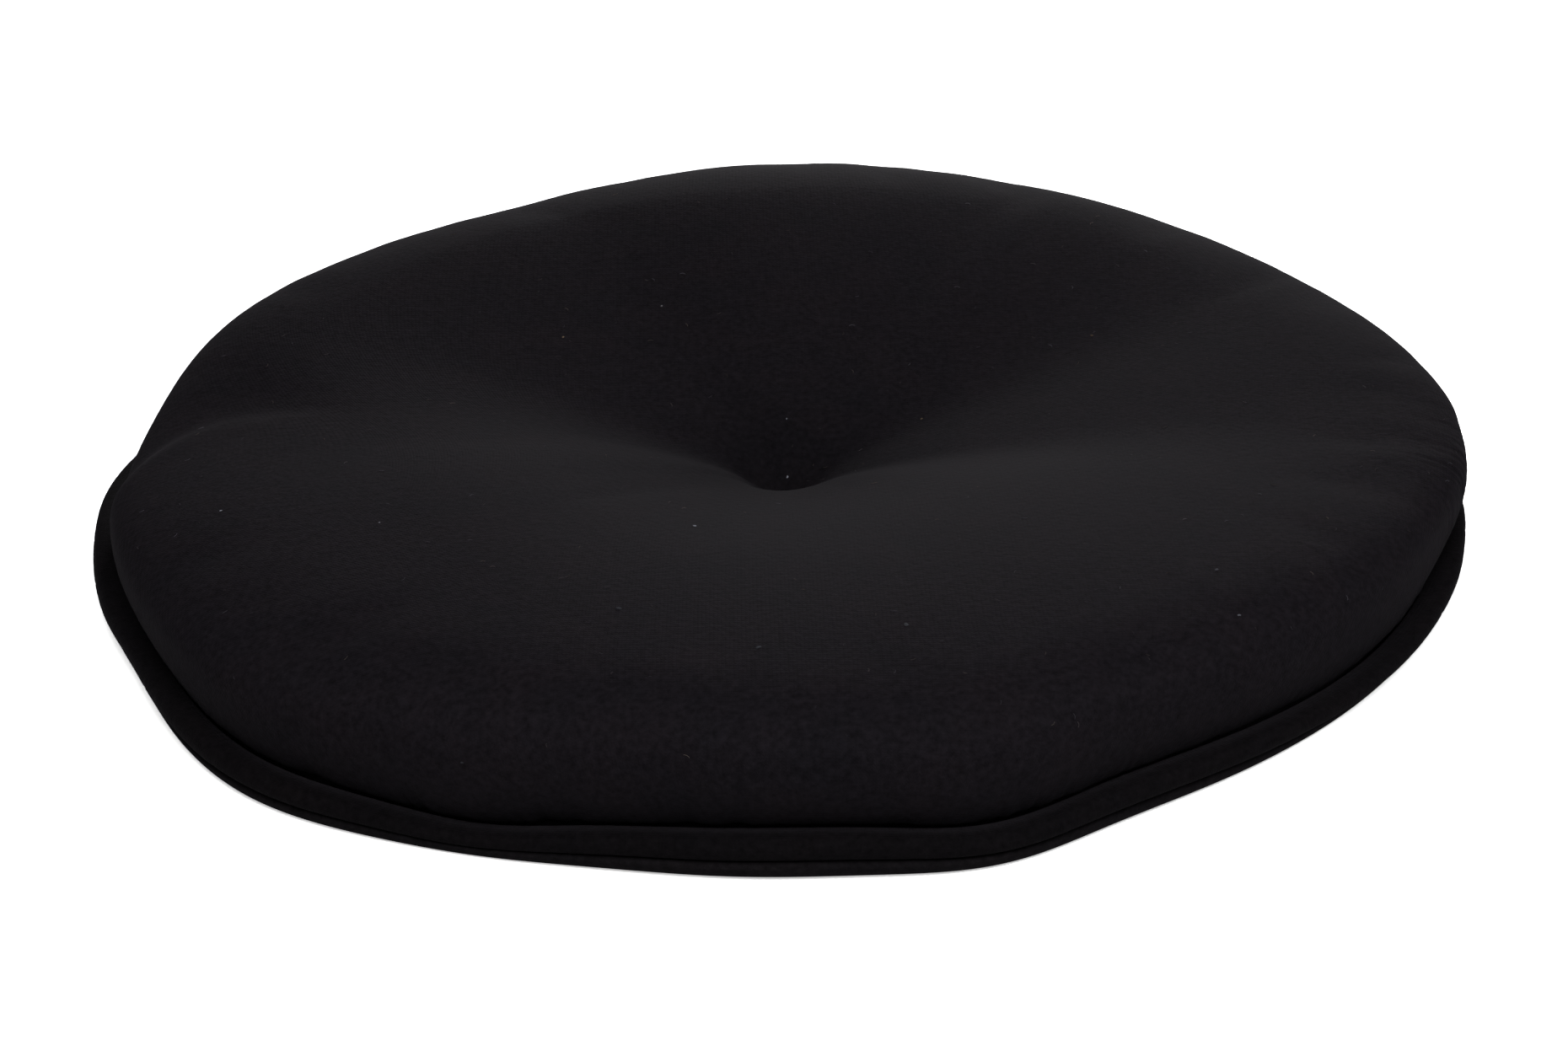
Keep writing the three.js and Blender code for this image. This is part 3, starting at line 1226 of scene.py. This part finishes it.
    def _fibre(self, repeat: RepeatTree) -> bpy.types.NodeSocket:
        """One bent fibre with a length of 1.

        Args:
            repeat: the tree, with the fibres' length and thickness as inputs.

        Returns:
            The fibre's socket.
        """
        sheet = repeat.sheet
        bend = dict(zip(("Start", "Middle", "End"), self.fibre_bend))
        curve = {"Resolution": self.fibre_steps, **bend}
        bent = sheet.add("GeometryNodeCurveQuadraticBezier", curve).outputs[0]
        thickness = sheet.math("DIVIDE", repeat.inputs["Thickness"], repeat.inputs["Length"])
        circle = {"Resolution": self.fibre_sides, "Radius": thickness}
        ring = sheet.add("GeometryNodeCurvePrimitiveCircle", circle).outputs[0]
        tube = {"Curve": bent, "Profile Curve": ring, "Fill Caps": True}
        return sheet.add("GeometryNodeCurveToMesh", tube).outputs[0]

    @staticmethod
    def _own(sheet: NodeSheet, name: str, kind: str) -> bpy.types.NodeSocket:
        """An attribute that the points bring with them."""
        node = sheet.add("GeometryNodeInputNamedAttribute", {"Name": name}, data_type=kind)
        return node.outputs["Attribute"]

    @staticmethod
    def _turned(
        sheet: NodeSheet, upright: bpy.types.NodeSocket, seed: bpy.types.NodeSocket
    ) -> bpy.types.NodeSocket:
        """An upright rotation turned at random about its own upright axis.

        Args:
            sheet: the tree's nodes.
            upright: the rotation.
            seed: the seed of the random turn.

        Returns:
            The new rotation's socket.
        """
        lie = sheet.random(0.0, 2 * math.pi, seed)
        by = sheet.add("ShaderNodeCombineXYZ", {2: lie}).outputs[0]
        inputs = {"Rotation": upright, "Rotate By": by}
        return sheet.add("FunctionNodeRotateRotation", inputs, rotation_space="LOCAL").outputs[0]


@dataclass
class EdgeWelt:
    """The strip of knit that is sewn into the rim seam as a soft roll; lengths in metres.

    The roll is uneven, because its filling is, and small tucks cross it where the strip is eased round the
    rim. Both are sums of sine waves, set apart by their phases in radians.
    """

    form: CushionForm
    knit: StretchKnit
    facets: int = 1440
    roll_steps: int = 14
    uneven_waves: tuple[int, ...] = (7, 11, 19, 31)
    uneven_phase: float = 2.3
    uneven: float = 0.45 * MM
    tuck_waves: tuple[int, ...] = (97, 151, 229)
    tuck_phase: float = 0.9
    tucked: float = 0.35 * MM

    def build(self) -> bpy.types.Object:
        """Builds the roll, flat on its inner side, and dresses it.

        Returns:
            The finished piece.
        """
        turn = turns(self.facets)
        rim = self.form.sizes(turn)
        top, bottom = rim.seam, rim.edge + self.form.sewn_gap
        half = (top - bottom) / 2
        drawn_in = self._drawn_in(turn)
        rings = [(rim.sewn, top)]
        for step in range(self.roll_steps + 1):
            over = (step / self.roll_steps - 0.5) * math.pi
            roll = half * (1 - math.cos(over)) + drawn_in * math.cos(over)
            rings.append((rim.welt - roll, (top + bottom) / 2 - half * math.sin(over)))
        rings.append((rim.sewn, bottom))
        points = np.stack([self.form.placed(turn, *ring) for ring in rings])
        piece = RoundSurface(points, self._flat(points), Closing.LOOP).build("edge_welt_roll")
        piece.data.materials.append(self.knit.material())
        return piece

    def _drawn_in(self, turn: np.ndarray) -> np.ndarray:
        """How far the roll is drawn in by its uneven filling and its small tucks.

        Args:
            turn: the turns in radians.

        Returns:
            A length for each turn.
        """
        slow = self._waves(turn, self.uneven_waves, self.uneven_phase)
        quick = self._waves(turn, self.tuck_waves, self.tuck_phase)
        slack = 0.5 + 0.5 * slow
        return self.uneven * slack + self.tucked * np.clip(quick, 0, 1) ** 2 * slack

    @staticmethod
    def _waves(turn: np.ndarray, counts: tuple[int, ...], phase: float) -> np.ndarray:
        """The mean of several sine waves round the rim, from -1 to 1."""
        return sum(np.sin(count * turn + phase * count) for count in counts) / len(counts)

    @staticmethod
    def _flat(points: np.ndarray) -> np.ndarray:
        """The strip laid flat: as long as it runs round the rim, and as wide as its section.

        Args:
            points: the roll's rings.

        Returns:
            Two coordinates for each point, with the first facet and the first ring repeated at the end.
        """
        around = np.linalg.norm(np.roll(points, -1, axis=1) - points, axis=-1).mean(axis=0)
        along = np.concatenate([[0.0], np.cumsum(around)])
        section = np.linalg.norm(np.roll(points, -1, axis=0) - points, axis=-1).mean(axis=1)
        over = np.concatenate([[0.0], np.cumsum(section)])
        return np.stack(np.meshgrid(along, over), axis=-1)


@dataclass
class BottomPanel:
    """The bottom panel, flat on the floor, with its edge turned up to the welt.

    The shares say where its inner rings lie, on the way out to the seam and on the way in underneath.
    """

    form: CushionForm
    knit: StretchKnit
    facets: int = 720
    corner_steps: int = 10
    upper_shares: tuple[float, ...] = (0.5, 1.0)
    under_shares: tuple[float, ...] = (0.9, 0.75, 0.5, 0.25)

    def build(self) -> bpy.types.Object:
        """Builds the panel from the middle of its upper side over its edge to its underside.

        Returns:
            The finished piece, dressed.
        """
        turn = turns(self.facets)
        rim = self.form.sizes(turn)
        corner = self.form.corner_share * rim.edge
        rings = [(rim.sewn * share, self.form.panel_thick) for share in self.upper_shares]
        rings += [(rim.sewn, rim.edge), (rim.foot - (rim.edge - corner), rim.edge)]
        for step in range(self.corner_steps + 1):
            under = step / self.corner_steps * math.pi / 2
            rings.append((rim.foot - corner * (1 - math.cos(under)), corner * (1 - math.sin(under))))
        rings += [((rim.foot - corner) * share, 0.0) for share in self.under_shares]
        points = np.stack([self.form.placed(turn, *ring) for ring in rings])
        centre = points[0].mean(axis=0)
        under_cloth = cloth_disc(points[::-1], turn, centre)[::-1]
        piece = RoundSurface(points, under_cloth, Closing.POLES).build("bottom_cover")
        piece.data.materials.append(self.knit.material())
        return piece


@dataclass(frozen=True)
class SoftLight:
    """A large square soft light, by its direction from the cushion; lengths in metres, turns in degrees."""

    name: str
    turn: float
    elevation: float
    watts: float
    distance: float = 1.5
    size: float = 0.7

    def build(self, look_at: Vector) -> None:
        """Sets the light up, turned to a point.

        Args:
            look_at: the point that it shines at.
        """
        turn, up = math.radians(self.turn), math.radians(self.elevation)
        toward = Vector((math.sin(turn) * math.cos(up), -math.cos(turn) * math.cos(up), math.sin(up)))
        light = bpy.data.lights.new(self.name, "AREA")
        light.shape = "SQUARE"
        light.size = self.size
        light.energy = self.watts
        lamp = bpy.data.objects.new(self.name, light)
        lamp.location = look_at + toward * self.distance
        lamp.rotation_euler = toward.to_track_quat("Z", "Y").to_euler()
        bpy.context.scene.collection.objects.link(lamp)


@dataclass
class Studio:
    """The floor, the light and the camera; lengths in metres, turns in degrees.

    The point look_at is seen at the pixel seen_at of the picture, and lens_px is how many pixels a metre
    takes up a metre away. fill and floor_shade are the light all round and the floor as they light the
    cushion. backdrop, floor_seen and floor_glow are those two as they are seen.
    """

    form: CushionForm
    look_height: float = 25 * MM
    distance: float = 1.2
    elevation: float = 26.0
    roll: float = 2.9
    lens_px: float = 4890.0
    sensor: float = 36.0
    seen_at: tuple[float, float] = (928.0, 555.0)
    picture: tuple[float, float] = (1860.0, 1240.0)
    furthest: float = 50.0
    lights: tuple[SoftLight, ...] = (
        SoftLight("window behind", turn=173.0, elevation=10.0, watts=6.8, size=0.35),
        SoftLight("high front", turn=0.0, elevation=50.0, watts=11.4),
        SoftLight("high right", turn=60.0, elevation=40.0, watts=3.6),
        SoftLight("under the floor", turn=0.0, elevation=-90.0, watts=16.0),
    )
    fill: float = 0.06
    backdrop: float = 0.9
    floor_radius: float = 9.0
    floor_facets: int = 360
    floor_drop: float = 0.2 * MM
    floor_shade: float = 0.6
    floor_seen: float = 2.6
    floor_glow: float = 0.5

    @property
    def look_at(self) -> Vector:
        """The point over the dimple that the camera and the lights are turned to."""
        return Vector((self.form.dimple_x, self.form.dimple_y, self.look_height))

    def build(self) -> None:
        """Sets up the whole studio."""
        self._floor()
        self._lights()
        self._camera()

    def sight(self, column: float, row: float) -> tuple[Vector, Vector]:
        """The line of sight through a pixel of the photograph.

        Args:
            column: the pixel's column in the 1860 x 1240 frame.
            row: the pixel's row.

        Returns:
            The camera's place and the line's direction.
        """
        stand = self._stand()
        toward = Vector((column - self.seen_at[0], self.seen_at[1] - row, -self.lens_px)).normalized()
        return stand.translation, stand.to_3x3() @ toward

    def _floor(self) -> None:
        """A plain pale floor, clear from below and open under the cushion, to let the underside be seen.

        It looks paler than it shines back, as an overexposed floor does.
        """
        turn = turns(self.floor_facets)
        rim = self.form.sizes(turn)
        flat = rim.foot - self.form.corner_share * rim.edge
        far = np.full(self.floor_facets, self.floor_radius)
        rings = [self.form.placed(turn, reach, -self.floor_drop) for reach in (flat, far)]
        count = self.floor_facets
        faces = [(i, count + i, count + (i + 1) % count, (i + 1) % count) for i in range(count)]
        mesh = bpy.data.meshes.new("floor")
        mesh.from_pydata(np.concatenate(rings).tolist(), [], faces)
        mesh.materials.append(self._floor_material())
        linked("floor", mesh)

    def _floor_material(self) -> bpy.types.Material:
        """The floor's finish, pale from above and clear from below.

        Returns:
            The new material.
        """
        material = bpy.data.materials.new("pale floor")
        material.use_nodes = True
        sheet = NodeSheet(material.node_tree)
        below = sheet.add("ShaderNodeNewGeometry").outputs["Backfacing"]
        shade = self._seen(sheet, self.floor_shade, self.floor_seen)
        lit = sheet.add("ShaderNodeBsdfDiffuse", {"Color": shade})
        glow = sheet.add("ShaderNodeEmission", {"Strength": self._seen(sheet, 0.0, self.floor_glow)})
        pale = sheet.add("ShaderNodeAddShader", {0: lit.outputs[0], 1: glow.outputs[0]})
        clear = sheet.add("ShaderNodeBsdfTransparent")
        mixed = sheet.add("ShaderNodeMixShader", {0: below, 1: pale.outputs[0], 2: clear.outputs[0]})
        sheet.add("ShaderNodeOutputMaterial", {"Surface": mixed.outputs[0]})
        return material

    @staticmethod
    def _seen(sheet: NodeSheet, shining: float, seen: float) -> bpy.types.NodeSocket:
        """One value for the light that falls on the cushion, and another for what is seen directly."""
        direct = sheet.add("ShaderNodeLightPath").outputs["Is Camera Ray"]
        return sheet.math("MULTIPLY_ADD", direct, seen - shining, shining)

    def _lights(self) -> None:
        """The soft lights, and a weak even light all round."""
        for light in self.lights:
            light.build(self.look_at)
        world = bpy.data.worlds.new("studio")
        bpy.context.scene.world = world
        world.use_nodes = True
        sheet = NodeSheet(world.node_tree)
        strength = self._seen(sheet, self.fill, self.backdrop)
        white = {"Color": (1.0, 1.0, 1.0, 1.0), "Strength": strength}
        background = sheet.add("ShaderNodeBackground", white)
        sheet.add("ShaderNodeOutputWorld", {"Surface": background.outputs[0]})
        bpy.context.scene.view_settings.view_transform = "Standard"

    def _stand(self) -> Matrix:
        """Where the camera stands and how it is turned.

        Returns:
            The camera's matrix.
        """
        up = math.radians(self.elevation)
        back = Vector((0.0, -math.cos(up), math.sin(up)))
        facing = back.to_track_quat("Z", "Y").to_matrix().to_4x4()
        rolled = facing @ Matrix.Rotation(math.radians(-self.roll), 4, "Z")
        return Matrix.Translation(self.look_at + back * self.distance) @ rolled

    def _camera(self) -> None:
        """The camera at the photograph's viewing angle."""
        width, height = self.picture
        data = bpy.data.cameras.new("camera")
        data.sensor_width = self.sensor
        data.lens = self.lens_px / width * self.sensor
        data.shift_x = (width / 2 - self.seen_at[0]) / width
        data.shift_y = (self.seen_at[1] - height / 2) / width
        data.clip_end = self.furthest
        camera = bpy.data.objects.new("camera", data)
        camera.matrix_world = self._stand()
        bpy.context.scene.collection.objects.link(camera)
        bpy.context.scene.camera = camera


def ride(piece: bpy.types.Object, node: str | None = None) -> None:
    """Sets a finished piece on the cushion's one body.

    Args:
        piece: the finished piece.
        node: the CAD node that the piece stands for, if any.
    """
    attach(piece, "root")
    if node:
        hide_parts(node)
    faces = sum(len(face.vertices) - 2 for face in piece.data.polygons)
    LOG.info("%s: %d triangles", piece.name, faces)


def main() -> None:
    """Builds the cushion and its studio."""
    logging.basicConfig(level=logging.INFO, format="%(message)s")
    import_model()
    form = CushionForm()
    studio = Studio(form)
    top_knit = StretchKnit(
        name="black knit, top",
        shade=(0.0098, 0.0086, 0.0110),
        warm_shade=(0.0119, 0.0096, 0.0120),
        # painted shade: the top keeps 0.6 of its shade in the seam and the dimple
        painted_hollow_shade=0.6,
    )
    # painted shade: the welt is the top's knit at about half its shade, darkened for the shadow in the gap
    # under the top's overhang
    welt_cloth_painted_dark = StretchKnit(
        name="black knit, welt, painted darker",
        shade=(0.0048, 0.0042, 0.0051),
        warm_shade=(0.0059, 0.0048, 0.0056),
        wale=0.9 * MM,
    )
    bottom_knit = StretchKnit(
        name="black knit, bottom",
        shade=(0.0075, 0.0068, 0.0080),
        warm_shade=(0.0095, 0.0080, 0.0092),
        nap=0.03,
    )
    fluff = LintFluff("fluff", cool_shade=(0.30, 0.31, 0.36), warm_shade=(0.22, 0.16, 0.11))
    stray = LintFluff("stray fibres", cool_shade=(0.160, 0.150, 0.180), warm_shade=(0.165, 0.135, 0.120))
    top = FilledTop(form, top_knit).build()
    specks = Lint(fluff).build_specks(top, studio)
    fibres = Lint(stray).build_fibres(top)
    ride(top, "seat_pad")
    ride(specks)
    ride(fibres)
    ride(EdgeWelt(form, welt_cloth_painted_dark).build(), "edge_welt")
    ride(BottomPanel(form, bottom_knit).build(), "bottom_panel")
    studio.build()


if __name__ == "__main__":
    main()
